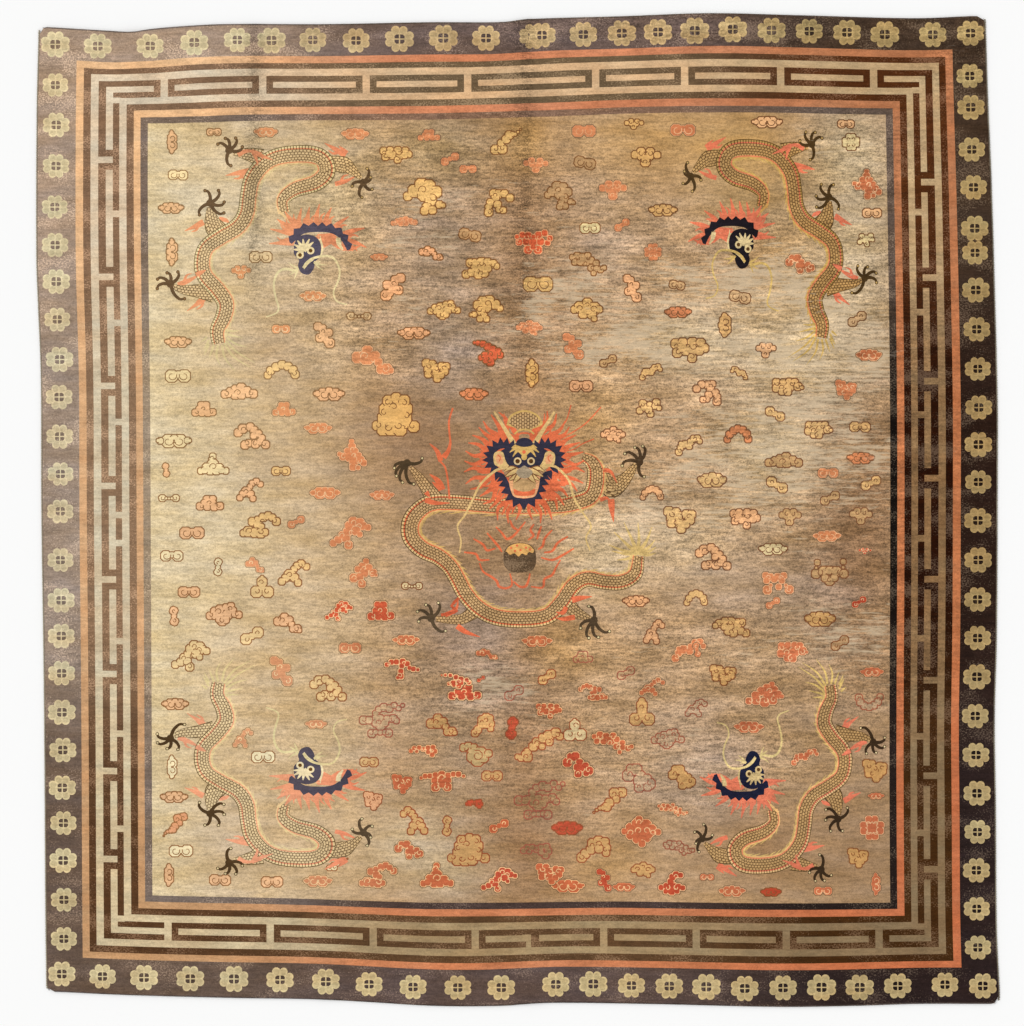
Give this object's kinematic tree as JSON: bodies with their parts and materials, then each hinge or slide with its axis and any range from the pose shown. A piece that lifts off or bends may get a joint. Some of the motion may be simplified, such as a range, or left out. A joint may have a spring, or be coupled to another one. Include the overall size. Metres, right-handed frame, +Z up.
{
  "type": "large dragon-pattern pile carpet",
  "caption": "Large, nearly square hand-knotted wool carpet laid flat, with dragons among clouds, a key-fret band and a flower border.",
  "frame": {"origin": "middle of the underside, on the floor", "axes": "+Z up from the floor, +Y towards the upper end of the pattern, +X towards its right side"},
  "size_m": [4.5791, 4.7201, 0.0178],
  "materials": {
    "wool_pile": "matte",
    "overcast_yarn": "matte"
  },
  "bodies": {
    "root": {"carpet": "wool_pile", "side_cord_left": "overcast_yarn", "side_cord_right": "overcast_yarn"}
  },
  "joints": []
}
